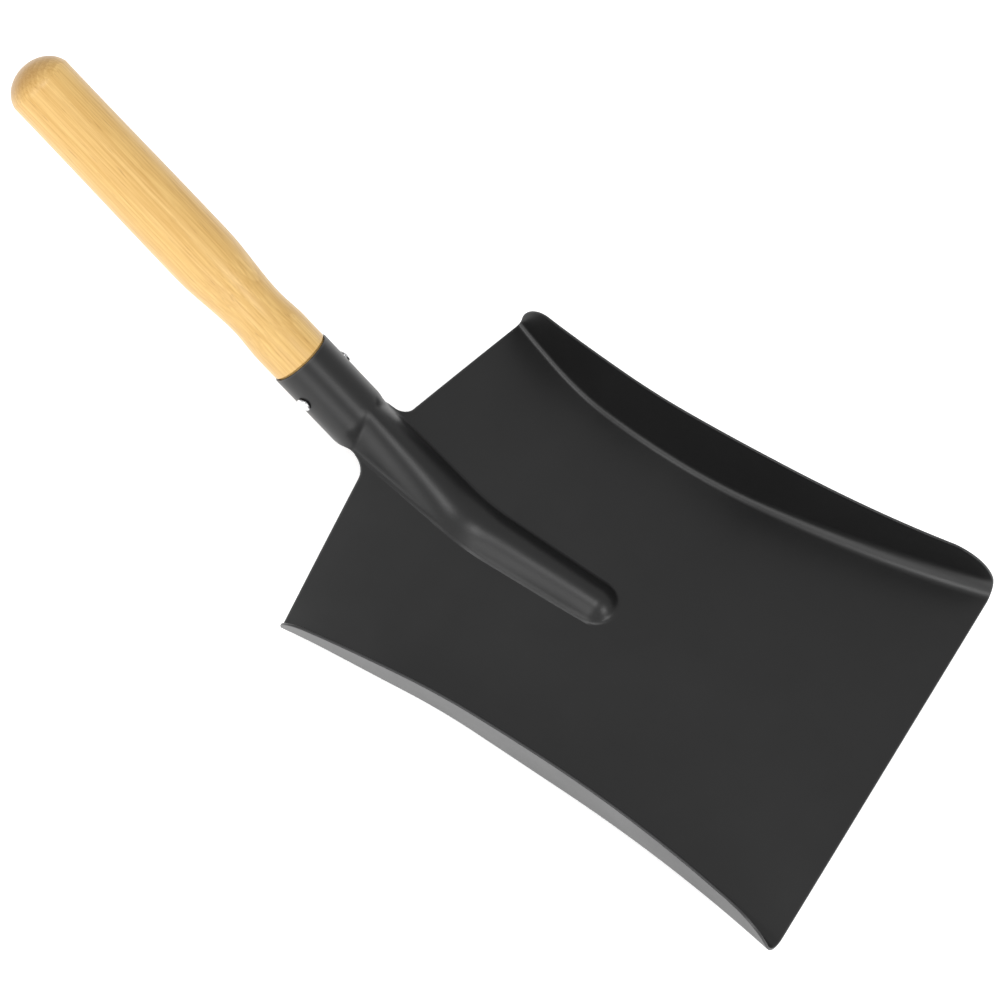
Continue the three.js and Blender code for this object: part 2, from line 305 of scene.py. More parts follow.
    @property
    def rib_nose_centre(self) -> float:
        """Centre of the rib's round nose."""
        return self.rib_nose_x - self.rib_half_nose

    def along_rib(self, x: float) -> float:
        """Goes from 0 at the neck to 1 at the nose of the rib."""
        return clamp((x + self.shoulder_sweep) / (self.rib_nose_centre + self.shoulder_sweep))

    def rib_half(self, x: float) -> float:
        """Half width of the rib at x."""
        return lerp(self.rib_half_neck, self.rib_half_nose, self.along_rib(x))

    def rib_rise(self, x: float, y: float) -> float:
        """Height of the rib over the floor, a parabola across; its crest carries on the socket's top line.

        Args:
            x: Forward of the back corners.
            y: Distance from the centre plane.

        Returns:
            The rise, which is 0 beside the rib.
        """
        top = self.line.mouth + self.line.upward * self.line.radius
        bend = top.x + (top.z - self.rib_height) / self.line.slope
        crest = self.rib_height + self.line.slope * ramp(bend - x, self.rib_crest_blend)
        rise = crest - self.floor_height(min(x, self.rib_nose_centre), 0)
        half = self.rib_half(x)
        ahead = max(0.0, x - self.rib_nose_centre)
        beside = (y * y + ahead * ahead) / (half * half)
        return rise * ramp(half / 2 * (1 - beside), self.rib_foot_blend) / (half / 2)

    def point(self, x: float, y: float) -> Vector:
        """Point of the pressed floor."""
        return Vector((x, y, self.floor_height(x, abs(y)) + self.rib_rise(x, abs(y))))

    # ---- Side walls ----

    def fold_radius(self, x: float) -> float:
        """Radius of the fold between the floor and the wall."""
        back = lerp(self.fold_back, self.fold_waist, ease(x, 0, self.waist_x))
        return back + (self.fold_front - self.fold_waist) * ease(x, self.waist_x, self.length)

    def rim_line(self, x: float) -> float:
        """Height of the rim."""
        lift = self.rim_lift * ease(x, self.rim_lift_start, self.length)
        return self.rim_height + self.rim_slope * (x - self.waist_x) + lift

    def wall_angle(self, x: float) -> float:
        """Angle of the side wall from level."""
        return lerp(self.wall_angle_back, self.wall_angle_front, ease(x, 0, self.length))

    def fold_section(self, x: float) -> tuple[float, float, float]:
        """Section of the fold at x.

        Args:
            x: Forward of the back corners.

        Returns:
            Where the floor ends, its slope there, and its height there.
        """
        width = self.fold_half(x)
        tilt = math.atan(self.floor_height(x, width) - self.floor_height(x, width - 1))
        start = width - self.fold_radius(x) * math.tan((self.wall_angle(x) - tilt) / 2)
        height = self.floor_height(x, start)
        slope = math.atan((height - self.floor_height(x, start - 0.1)) / 0.1)
        return start, slope, height

    def fold_point(self, x: float, part: float) -> Vector:
        """Point on the fold.

        Args:
            x: Forward of the back corners.
            part: Of the turn from the floor (0) to the wall (1).

        Returns:
            The point.
        """
        start, slope, height = self.fold_section(x)
        radius = self.fold_radius(x)
        angle = lerp(slope, self.wall_angle(x), part)
        y = start + radius * (math.sin(angle) - math.sin(slope))
        return Vector((x, y, height + radius * (math.cos(slope) - math.cos(angle))))

    def wall_point(self, x: float, part: float) -> Vector:
        """Point on the wall.

        Args:
            x: Forward of the back corners.
            part: Of the way from the fold (0) to the rim (1).

        Returns:
            The point.
        """
        foot = self.fold_point(x, 1)
        rise = (self.rim_line(x) - foot.z) * part
        return Vector((x, foot.y + rise / math.tan(self.wall_angle(x)), foot.z + rise))

    def wall_length(self, x: float) -> float:
        """Length of the wall above the fold, measured up its face."""
        return (self.rim_line(x) - self.fold_point(x, 1).z) / math.sin(self.wall_angle(x))


@dataclass(frozen=True)
class Column:
    """A line of points that keeps its place across the sheet from the shoulder to the front edge.

    Attributes:
        at: Gives the point at an X.
        back: X where the column starts.
        front: X where it ends.
        neck_part: Its part of the way round the socket, where it runs on into the neck.
    """

    at: Callable[[float], Vector]
    back: float
    front: float
    neck_part: float = 0.0

    def point(self, part: float, side: int) -> Vector:
        """Point a part of the way forward, on the left (1) or the right (-1) of the centre plane."""
        place = self.at(lerp(self.back, self.front, part))
        return Vector((place.x, place.y * side, place.z))


@dataclass
class Sheet:
    """Face of the sheet under construction, from which a closed sheet with rounded cut edges is made.

    Attributes:
        points: Its points.
        faces: Its faces, as numbers of points.
    """

    points: list[Vector] = field(default_factory=list)
    faces: list[tuple[int, ...]] = field(default_factory=list)

    def add(self, point: Vector) -> int:
        """Adds a point and returns its number."""
        self.points.append(point)
        return len(self.points) - 1

    def join(self, behind: dict[int, int], ahead: dict[int, int]) -> None:
        """Adds the faces between two rows of point numbers, keyed by column.

        Args:
            behind: The row nearer the handle.
            ahead: The row nearer the front edge.
        """
        for j in sorted(behind):
            if j + 1 in behind:
                self.faces.append((behind[j], ahead[j], ahead[j + 1], behind[j + 1]))

    def normals(self) -> list[Vector]:
        """Finds the directions square to the face.

        Returns:
            One direction for each point, weighted by the area of the faces round it.
        """
        found = [Vector() for _ in self.points]
        for face in self.faces:
            a, b, c, d = (self.points[i] for i in face)
            square = (c - a).cross(d - b)
            for i in face:
                found[i] += square
        return [normal.normalized() for normal in found]

    def outline(self) -> dict[int, int]:
        """Cut edges of the face, as the next point after each point on them."""
        edges = {(face[i], face[(i + 1) % 4]) for face in self.faces for i in range(4)}
        return {a: b for a, b in edges if (b, a) not in edges}

    def closed(self, thickness: float, rounding: float, turns: int) -> "ClosedSheet":
        """Gives the face its thickness and rounds its cut edges.

        Args:
            thickness: Of the sheet, which grows to the back of the face.
            rounding: Radius along the cut edges.
            turns: Number of facets in each quarter turn of that rounding.

        Returns:
            Points, faces, normals and edge distances of the closed sheet.
        """
        normals = self.normals()
        after = self.outline()
        before = {b: a for a, b in after.items()}
        outward = {
            i: (self.points[after[i]] - self.points[before[i]]).cross(normals[i]).normalized()
            for i in after
        }
        tree = KDTree(len(after))
        for i in after:
            tree.insert(self.points[i], i)
        tree.balance()
        near = [tree.find(point)[2] for point in self.points]
        fronts = [
            point - outward[i] * rounding if i in outward else point
            for i, point in enumerate(self.points)
        ]
        backs = [front - normal * thickness for front, normal in zip(fronts, normals)]
        count = len(fronts)
        result = ClosedSheet(fronts + backs, list(self.faces), normals + [-n for n in normals], near * 2)
        result.faces += [tuple(i + count for i in reversed(face)) for face in self.faces]
        previous = {i: i for i in after}
        for quarter in range(2):
            depth = rounding if quarter == 0 else thickness - rounding
            for step in range(1 - quarter, turns + 1 - quarter):
                turn = (quarter + step / turns) * math.pi / 2
                ring = {}
                for i in after:
                    facing = normals[i] * math.cos(turn) + outward[i] * math.sin(turn)
                    centre = fronts[i] - normals[i] * depth
                    ring[i] = result.add(centre + facing * rounding, facing)
                result.join(previous, ring, after)
                previous = ring
        result.join(previous, {i: i + count for i in after}, after)
        return result


@dataclass
class ClosedSheet:
    """A closed sheet.

    Attributes:
        points: Its points.
        faces: Its faces, as numbers of points.
        normals: Direction that each point faces.
        near: Distance of each point from the cut edge, in millimetres.
    """

    points: list[Vector]
    faces: list[tuple[int, ...]]
    normals: list[Vector]
    near: list[float]

    def add(self, point: Vector, normal: Vector) -> int:
        """Adds a point on the cut edge.

        Args:
            point: Its place.
            normal: Direction that it faces.

        Returns:
            Its number.
        """
        self.points.append(point)
        self.normals.append(normal)
        self.near.append(0.0)
        return len(self.points) - 1

    def join(self, inner: dict[int, int], outer: dict[int, int], after: dict[int, int]) -> None:
        """Adds the band of faces between two rings along the cut edge."""
        self.faces += [(inner[b], inner[a], outer[a], outer[b]) for a, b in after.items()]


# ==== Blender helpers ===========================================================================

def to_frame(line: HandleLine) -> Matrix:
    """Turns millimetres from the pan's back corners into the frame's metres.

    Args:
        line: Gives the rivet's centre, which is the point the two have in common.

    Returns:
        The matrix that places a piece's mesh.
    """
    low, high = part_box("rivet")
    shift = (low + high) / 2 - line.rivet * MM
    return Matrix.Translation(shift) @ Matrix.Scale(MM, 4)


def new_object(name: str, mesh: bpy.types.Mesh) -> bpy.types.Object:
    """Links a new object.

    Args:
        name: Of the object.
        mesh: That it shows.

    Returns:
        The object.
    """
    made = bpy.data.objects.new(name, mesh)
    bpy.context.scene.collection.objects.link(made)
    return made


def install(piece: bpy.types.Object, node: str, slot: Slot) -> None:
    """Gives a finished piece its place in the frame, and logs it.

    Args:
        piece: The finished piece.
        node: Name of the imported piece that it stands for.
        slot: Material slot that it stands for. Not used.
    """
    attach(piece, "root")
    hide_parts(node)
    triangles = sum(len(face.vertices) - 2 for face in piece.data.polygons)
    log.info("%s: %d triangles", piece.name, triangles)


def bearing(azimuth: float, elevation: float) -> Vector:
    """Direction from the shovel to something that looks at it.

    Args:
        azimuth: In degrees; 0 is on the right side of the shovel, and 90 ahead of its front edge.
        elevation: Above the horizon, in degrees.

    Returns:
        The direction.
    """
    turn, rise = math.radians(azimuth), math.radians(elevation)
    return Vector((math.sin(turn) * math.cos(rise), -math.cos(turn) * math.cos(rise), math.sin(rise)))


class NodeGraph:
    """A node tree under construction, with short calls for the nodes that the finishes and shapes use."""

    def __init__(self, tree: bpy.types.NodeTree) -> None:
        """Starts on an empty tree."""
        self.tree = tree
        tree.nodes.clear()

    def node(self, kind: str, **settings: Any) -> bpy.types.Node:
        """Adds a node.

        Args:
            kind: Its type's identifier.
            **settings: Properties to set on it.

        Returns:
            The node.
        """
        made = self.tree.nodes.new(kind)
        for key, value in settings.items():
            setattr(made, key, value)
        return made

    def feed(self, socket: bpy.types.NodeSocket, value: Any) -> None:
        """Links an output to a socket, or sets the socket's own value.

        Args:
            socket: The input socket.
            value: An output socket, a plain value, or None to leave the input as it is.
        """
        if isinstance(value, bpy.types.NodeSocket):
            self.tree.links.new(value, socket)
        elif value is not None:
            socket.default_value = value

    def math(self, operation: str, *values: Any) -> bpy.types.NodeSocket:
        """Adds a Math node.

        Args:
            operation: What it does.
            *values: Its inputs, in order.

        Returns:
            Its result.
        """
        made = self.node("ShaderNodeMath", operation=operation)
        for socket, value in zip(made.inputs, values):
            self.feed(socket, value)
        return made.outputs[0]

    def scale_range(self, value: Any, low: Any, high: Any, to_low: Any, to_high: Any,
                    smooth: bool = False) -> bpy.types.NodeSocket:
        """Maps value from one range to another, kept inside it.

        Args:
            value: The number to map.
            low: Start of its range.
            high: End of its range.
            to_low: Result at the start.
            to_high: Result at the end.
            smooth: Whether the result eases in and out.

        Returns:
            The mapped value.
        """
        made = self.node("ShaderNodeMapRange", interpolation_type="SMOOTHSTEP" if smooth else "LINEAR")
        for socket, given in zip(made.inputs, (value, low, high, to_low, to_high)):
            self.feed(socket, given)
        return made.outputs[0]


# ==== Finishes ==================================================================================

class SurfaceGraph(NodeGraph):
    """Node tree of a finish, ending in one Principled shader."""

    def __init__(self, name: str) -> None:
        """Makes an empty material.

        Args:
            name: Of the material.
        """
        self.material = bpy.data.materials.new(name)
        self.material.use_nodes = True
        super().__init__(self.material.node_tree)
        self.shader = self.node("ShaderNodeBsdfPrincipled")
        output = self.node("ShaderNodeOutputMaterial")
        self.tree.links.new(self.shader.outputs[0], output.inputs[0])
        self.place = self.node("ShaderNodeTexCoord").outputs["Object"]

    def turned(self, location: Sequence[float], tilt: float,
               scale: Sequence[float]) -> bpy.types.NodeSocket:
        """Object coordinates moved to a centre, turned about Y and stretched.

        Args:
            location: Centre of the pattern on the piece.
            tilt: Turn about Y.
            scale: Stretch along the turned axes.

        Returns:
            The coordinates.
        """
        centred = self.node("ShaderNodeMapping", vector_type="TEXTURE")
        self.feed(centred.inputs["Vector"], self.place)
        centred.inputs["Location"].default_value = location
        centred.inputs["Rotation"].default_value = (0, tilt, 0)
        stretched = self.node("ShaderNodeMapping")
        self.feed(stretched.inputs["Vector"], centred.outputs[0])
        stretched.inputs["Scale"].default_value = scale
        return stretched.outputs[0]

    def noise(self, vector: bpy.types.NodeSocket, scale: float, detail: float = 2.0,
              roughness: float = 0.5, distortion: float = 0.0) -> bpy.types.NodeSocket:
        """Value of a noise pattern.

        Args:
            vector: Coordinates it reads.
            scale: Repeats for each metre of them.
            detail: Number of finer layers.
            roughness: Strength of those layers.
            distortion: How much it swirls.

        Returns:
            The value, around 0.5.
        """
        made = self.node("ShaderNodeTexNoise")
        for name, value in (("Vector", vector), ("Scale", scale), ("Detail", detail),
                            ("Roughness", roughness), ("Distortion", distortion)):
            self.feed(made.inputs[name], value)
        return made.outputs["Fac"]

    def mix(self, part: Any, start: Any, end: Any, blend: str = "MIX") -> bpy.types.NodeSocket:
        """Mixes two colours.

        Args:
            part: Of the way from start to end.
            start: Colour at 0.
            end: Colour at 1.
            blend: How the two combine.

        Returns:
            The mixed colour.
        """
        made = self.node("ShaderNodeMix", data_type="RGBA", blend_type=blend)
        self.feed(made.inputs[0], part)
        self.feed(made.inputs[6], start)
        self.feed(made.inputs[7], end)
        return made.outputs[2]

    def bump(self, height: bpy.types.NodeSocket, distance: float, strength: float = 1.0,
             under: bpy.types.NodeSocket | None = None) -> bpy.types.NodeSocket:
        """Normal bent by a height.

        Args:
            height: The pattern, from 0 to 1.
            distance: Its real height in metres.
            strength: Part of the bend that is used.
            under: Normal from a coarser bump.

        Returns:
            The normal.
        """
        made = self.node("ShaderNodeBump")
        made.inputs["Distance"].default_value = distance
        made.inputs["Strength"].default_value = strength
        self.feed(made.inputs["Height"], height)
        if under is not None:
            self.feed(made.inputs["Normal"], under)
        return made.outputs[0]

    def set(self, **values: Any) -> None:
        """Feeds the shader's sockets, named with underscores for spaces."""
        for name, value in values.items():
            self.feed(self.shader.inputs[name.replace("_", " ")], value)


@dataclass(frozen=True)
class PowderCoat:
    """Semi-gloss black powder coat on the pressed steel.

    Attributes:
        colour: Of the coat.
        worn: Of the coat where it thins over a cut edge.
        roughness: Of the open faces.
        gloss_spread: How far the roughness varies from patch to patch.
        peel_scale: Repeats of the fine orange peel, for each metre.
        peel_height: Height of the peel, in metres.
        flow_scale: Repeats of the coarser flow of the coat, for each metre.
        flow_height: Height of that flow, in metres.
        cloud_scale: Repeats of the faint gloss patches, for each metre.
        worn_from: Distance from a cut edge where the coat is at its thinnest, in millimetres.
        worn_to: Distance where the coat is whole, in millimetres.
    """

    colour: tuple[float, float, float, float] = (0.0062, 0.0062, 0.0063, 1)
    worn: tuple[float, float, float, float] = (0.03, 0.03, 0.031, 1)
    roughness: float = 0.37
    gloss_spread: float = 0.025
    peel_scale: float = 900.0
    peel_height: float = 0.000006
    flow_scale: float = 160.0
    flow_height: float = 0.00002
    cloud_scale: float = 22.0
    worn_from: float = 0.25
    worn_to: float = 1.1

    def material(self) -> bpy.types.Material:
        """Builds the finish: a fine orange peel, faint gloss patches, and a thinner coat on the edges.

        Returns:
            The material.
        """
        graph = SurfaceGraph("black_powder_coat")
        peel = graph.noise(graph.place, self.peel_scale, 3, 0.55)
        flow = graph.noise(graph.place, self.flow_scale, 2, 0.5)
        cloud = graph.noise(graph.place, self.cloud_scale, 3, 0.6)
        near = graph.node("ShaderNodeAttribute", attribute_name="near_edge").outputs["Fac"]
        ragged = graph.math("ADD", near, graph.math("MULTIPLY", flow, 0.6))
        edge = graph.scale_range(ragged, self.worn_from, self.worn_to, 1, 0)
        paler = tuple(value * 1.25 for value in self.colour[:3]) + (1,)
        shade = graph.mix(graph.scale_range(cloud, 0.3, 0.7, 0, 1), self.colour, paler)
        gloss = graph.scale_range(cloud, 0.3, 0.7, self.roughness - self.gloss_spread,
                                  self.roughness + self.gloss_spread)
        coarse = graph.bump(flow, self.flow_height)
        graph.set(Base_Color=graph.mix(edge, shade, self.worn), Roughness=gloss, IOR=1.5,
                  Normal=graph.bump(peel, self.peel_height, under=coarse))
        return graph.material


@dataclass(frozen=True)
class LacqueredWood:
    """Light golden hardwood, turned, with its grain along the handle under a clear lacquer.

    Attributes:
        line: The line that the grain follows.
        pale: Of the early wood.
        golden: Of the late wood.
        deep: Of the end grain and the darkest streaks.
        roughness: Of the lacquer.
        heart: Centre of the growth rings, from the handle's line, in metres.
        ring_scale: Closeness of the growth rings.
        patch_scale: Repeats of the broad darker patches, for each metre.
        fibre_scale: Repeats of the fibres across the grain, for each metre.
        pore_scale: Repeats of the pores across the grain, for each metre.
        fibre_height: Height of the fibres, in metres.
        pore_depth: Depth of the pores, in metres.
    """

    line: HandleLine
    pale: tuple[float, float, float, float] = (0.80, 0.54, 0.20, 1)
    golden: tuple[float, float, float, float] = (0.53, 0.29, 0.065, 1)
    deep: tuple[float, float, float, float] = (0.30, 0.13, 0.03, 1)
    roughness: float = 0.42
    heart: tuple[float, float, float] = (0.058, 0.023, 0)
    ring_scale: float = 150.0
    patch_scale: float = 55.0
    fibre_scale: float = 1100.0
    pore_scale: float = 1900.0
    fibre_height: float = 0.00002
    pore_depth: float = 0.00003

    def material(self) -> bpy.types.Material:
        """Builds the finish: growth rings cut lengthwise, long fibres, short pores, and the lacquer.

        Returns:
            The material.
        """
        graph = SurfaceGraph("lacquered_wood")
        centre = to_frame(self.line) @ self.line.mouth
        tilt = -(math.pi / 2 - self.line.angle)
        along = graph.turned(centre, tilt, (1, 1, 0.035))
        fibre = graph.turned(centre, tilt, (1, 1, 0.022))
        pores = graph.turned(centre, tilt, (1, 1, 0.05))
        wander = graph.noise(along, self.patch_scale, 2, 0.5)
        ring_place = graph.node("ShaderNodeMapping")
        graph.feed(ring_place.inputs["Vector"], along)
        ring_place.inputs["Location"].default_value = self.heart
        rings = graph.node("ShaderNodeTexWave", wave_type="RINGS", rings_direction="Z", wave_profile="SAW")
        for name, value in (("Scale", self.ring_scale), ("Distortion", 1.6), ("Detail", 3),
                            ("Detail Scale", 0.8)):
            rings.inputs[name].default_value = value
        graph.feed(rings.inputs["Vector"], ring_place.outputs[0])
        late = graph.scale_range(rings.outputs["Fac"], 0.2, 1.0, 0, 0.4)
        body = graph.mix(late, self.pale, self.golden)
        streak = graph.scale_range(graph.noise(fibre, self.fibre_scale, 4, 0.7), 0.38, 0.68, 0, 0.8)
        body = graph.mix(streak, body, self.golden)
        patch = graph.scale_range(wander, 0.35, 0.75, 0, 0.4)
        body = graph.mix(patch, body, self.golden)
        pore = graph.scale_range(graph.noise(pores, self.pore_scale, 1, 0.5), 0.66, 0.74, 0, 0.4)
        body = graph.mix(pore, body, self.deep)
        end = graph.node("ShaderNodeAttribute", attribute_name="end_grain").outputs["Fac"]
        body = graph.mix(graph.scale_range(end, 0.0, 1.0, 0, 0.4), body, self.deep)
        under = graph.bump(streak, self.fibre_height)
        graph.set(Base_Color=body, Roughness=self.roughness, IOR=1.5,
                  Normal=graph.bump(pore, self.pore_depth, under=under),
                  Coat_Weight=0.3, Coat_Roughness=0.3)
        return graph.material


@dataclass(frozen=True)
class BrightSteel:
    """Bright rivet steel with the marks of the setting tool.

    Attributes:
        colour: Of the steel.
        dull: Of its dull spots.
        roughness: Of its face.
        spot_scale: Repeats of the dull spots, for each metre.
        mark_scale: Repeats of the marks, for each metre.
        mark_height: Height of the marks, in metres.
    """

    colour: tuple[float, float, float, float] = (0.78, 0.78, 0.79, 1)
    dull: tuple[float, float, float, float] = (0.55, 0.55, 0.56, 1)
    roughness: float = 0.26
    spot_scale: float = 1800.0
    mark_scale: float = 700.0
    mark_height: float = 0.00004

    def material(self) -> bpy.types.Material:
        """Builds the finish: fine scratches and dull spots.

        Returns:
            The material.
        """
        graph = SurfaceGraph("bright_steel")
        spots = graph.noise(graph.place, self.spot_scale, 3, 0.6)
        marks = graph.noise(graph.place, self.mark_scale, 2, 0.5, 1.5)
        colour = graph.mix(graph.scale_range(spots, 0.45, 0.7, 0, 0.5), self.colour, self.dull)
        gloss = graph.scale_range(marks, 0.35, 0.7, self.roughness - 0.06, self.roughness + 0.1)
        graph.set(Base_Color=colour, Roughness=gloss, Metallic=1.0,
                  Normal=graph.bump(marks, self.mark_height))
        return graph.material


# ==== Blade =====================================================================================

@dataclass
class Blade:
    """The pressed blade: pan, side walls, rib, neck and socket, all one sheet of steel.

    Attributes:
        shape: Upper face of the pan.
        thickness: Of the sheet.
        edge_round: Radius on the cut edges.
        edge_turns: Facets in each quarter turn of that rounding.
        seam_gap: Open seam along the underside of the socket.
        flap_start: From the mouth to where the flaps start to be cut back.
        neck_start: From the mouth to where the round section starts to open, at its crest.
        neck_side_start: The same at its sides.
        neck_turn: How far round from its crest the neck's sheet reaches.
        neck_fillet: Radius between the neck and the shoulder line.
    """

    shape: PanShape
    thickness: float = 1.2
    edge_round: float = 0.4
    edge_turns: int = 4
    seam_gap: float = 3.0
    flap_start: float = 28.0
    neck_start: float = 33.0
    neck_side_start: float = 44.0
    neck_turn: float = math.radians(80.5)
    neck_fillet: float = 7.0

    @property
    def neck_x(self) -> float:
        """X where the neck runs into the pan."""
        return self.shape.shoulder_x(self.shape.neck_half) - self.neck_fillet

    # ---- Columns of the sheet, from the centre plane out to the rim ----

    def rib_column(self, part: float) -> Column:
        """Column on the rib.

        Args:
            part: Of the way from the crest to the foot.

        Returns:
            The column.
        """
        shape = self.shape
        return Column(lambda x: shape.point(x, part * shape.rib_half(x)), self.neck_x, shape.length,
                      part * shape.rib_half_neck / shape.neck_half)

    def floor_column(self, offset: float) -> Column:
        """Column on the floor.

        Args:
            offset: From the neck's edge to where the column starts.

        Returns:
            The column.
        """
        shape = self.shape
        start_y = shape.neck_half + offset
        part = (start_y - shape.rib_half_neck) / (shape.fold_section(0)[0] - shape.rib_half_neck)
        back = shape.shoulder_x(start_y) - corner_cut(offset, self.neck_fillet)
        return Column(lambda x: shape.point(x, lerp(shape.rib_half(x), shape.fold_section(x)[0], part)),
                      back, shape.length, 1.0)

    def fold_column(self, part: float) -> Column:
        """Column on the fold.

        Args:
            part: Of the way from the floor to the wall.

        Returns:
            The column.
        """
        shape = self.shape

        def above(x: float) -> float:
            """Length of sheet from the column up to the rim."""
            turn = (1 - part) * (shape.wall_angle(x) - shape.fold_section(x)[1])
            return shape.wall_length(x) + turn * shape.fold_radius(x)

        back = shape.shoulder_x(min(shape.fold_point(0, part).y, shape.back_half))
        return Column(lambda x: shape.fold_point(x, part),
                      back + corner_cut(above(0), shape.wall_corner_back),
                      shape.length - corner_cut(above(shape.length), shape.wall_corner_front))

    def wall_column(self, part: float) -> Column:
        """Column on the wall.

        Args:
            part: Of the way from the fold to the rim.

        Returns:
            The column.
        """
        shape = self.shape
        length = shape.length
        return Column(lambda x: shape.wall_point(x, part),
                      corner_cut((1 - part) * shape.wall_length(0), shape.wall_corner_back),
                      length - corner_cut((1 - part) * shape.wall_length(length), shape.wall_corner_front))

    def columns(self) -> tuple[list[Column], int]:
        """Columns of one half of the sheet.

        Returns:
            The columns from the centre plane out, and the number of the last one that is on the neck.
        """
        span = self.shape.fold_section(0)[0] - self.shape.neck_half
        round_corner = [self.neck_fillet * (1 - math.cos(part * math.pi / 2)) for part in spread(0, 1, 7)]
        neck = [self.rib_column(part) for part in [0.0, *spread(0, 1, 28)]] + [self.floor_column(0)]
        floor = [self.floor_column(offset) for offset in round_corner + spread(self.neck_fillet, span, 26)]
        fold = [self.fold_column(part) for part in spread(0, 1, 12)]
        wall = [self.wall_column(part) for part in crowded(14)]
        return neck + floor + fold + wall, len(neck) - 1

    def stations(self) -> list[float]:
        """Rows along the pan.

        Returns:
            Their places, as parts of the way from the neck to the front edge.
        """
        shape, start = self.shape, self.neck_x
        nose = shape.rib_nose_centre - 2
        past = shape.rib_nose_x + 2
        places = [start, *spread(start, 20, 34), *spread(20, 52, 24), *spread(52, nose, 24),
                  *spread(nose, past, 24), *spread(past, shape.length - 2, 56), shape.length - 1,
                  shape.length]
        return [(x - start) / (shape.length - start) for x in places]

    # ---- Neck and socket ----

    def socket_point(self, run: float, part: float, neck_run: float) -> Vector:
        """Point on the outside of the socket.

        Args:
            run: From the mouth.
            part: Of the way from the crest to the seam.
            neck_run: From the mouth to the start of the neck.

        Returns:
            The point.
        """
        line = self.shape.line
        seam = line.radius * (math.pi - math.asin(self.seam_gap / 2 / line.radius))
        half = lerp(seam, line.radius * self.neck_turn, ease(run, self.flap_start, neck_run))
        turn = part * half / line.radius
        place = line.mouth + line.forward * run + line.upward * (line.radius * math.cos(turn))
        return Vector((place.x, line.radius * math.sin(turn), place.z))

    def neck_point(self, run: float, part: float, neck_run: float, side: int) -> Vector:
        """Point of the sheet behind the pan, where the round section opens into the rib and its flanks.

        Args:
            run: From the mouth.
            part: Of the way from the crest to the cut edge.
            neck_run: From the mouth to the start of the neck.
            side: 1 on the left, -1 on the right.

        Returns:
            The point.
        """
        shape = self.shape
        behind = self.neck_x - (neck_run - run) * shape.line.forward.x
        flat = shape.point(behind, part * shape.neck_half)
        start = lerp(self.neck_start, self.neck_side_start, part)
        place = self.socket_point(run, part, neck_run).lerp(flat, ease(run, start, neck_run))
        return Vector((place.x, place.y * side, place.z))

    def face(self) -> Sheet:
        """Lays out the upper and outer face of the sheet.

        Returns:
            The face.
        """
        sheet = Sheet()
        columns, neck_last = self.columns()
        last = len(columns) - 1
        rows = []
        for part in self.stations():
            rows.append({j: sheet.add(columns[abs(j)].point(part, -1 if j < 0 else 1))
                         for j in range(-last, last + 1)})
        for behind, ahead in zip(rows, rows[1:]):
            sheet.join(behind, ahead)
        start = self.shape.point(self.neck_x, self.shape.neck_half)
        neck_run = (start - self.shape.line.mouth).dot(self.shape.line.forward)
        ahead = {j: rows[0][j] for j in range(-neck_last, neck_last + 1)}
        for run in spread(neck_run, self.flap_start, 40) + spread(self.flap_start, 0, 18):
            behind = {j: sheet.add(self.neck_point(run, columns[abs(j)].neck_part, neck_run,
                                                   -1 if j < 0 else 1)) for j in ahead}
            sheet.join(behind, ahead)
            ahead = behind
        return sheet

    def build(self) -> bpy.types.Object:
        """Builds the blade as one closed sheet.

        Returns:
            The blade.
        """
        closed = self.face().closed(self.thickness, self.edge_round, self.edge_turns)
        mesh = bpy.data.meshes.new("blade_sheet")
        mesh.from_pydata([tuple(point) for point in closed.points], [], closed.faces)
        mesh.transform(to_frame(self.shape.line))
        mesh.shade_smooth()
        mesh.normals_split_custom_set_from_vertices([tuple(normal) for normal in closed.normals])
        near = mesh.attributes.new("near_edge", "FLOAT", "POINT")
        near.data.foreach_set("value", closed.near)
        return new_object("blade_sheet", mesh)

    def dress(self, blade: bpy.types.Object) -> None:
        """Gives the blade its powder coat and its place in the frame."""
        blade.data.materials.append(PowderCoat().material())
        install(blade, "blade", Slot.PAINT)


# ==== Turned pieces =============================================================================

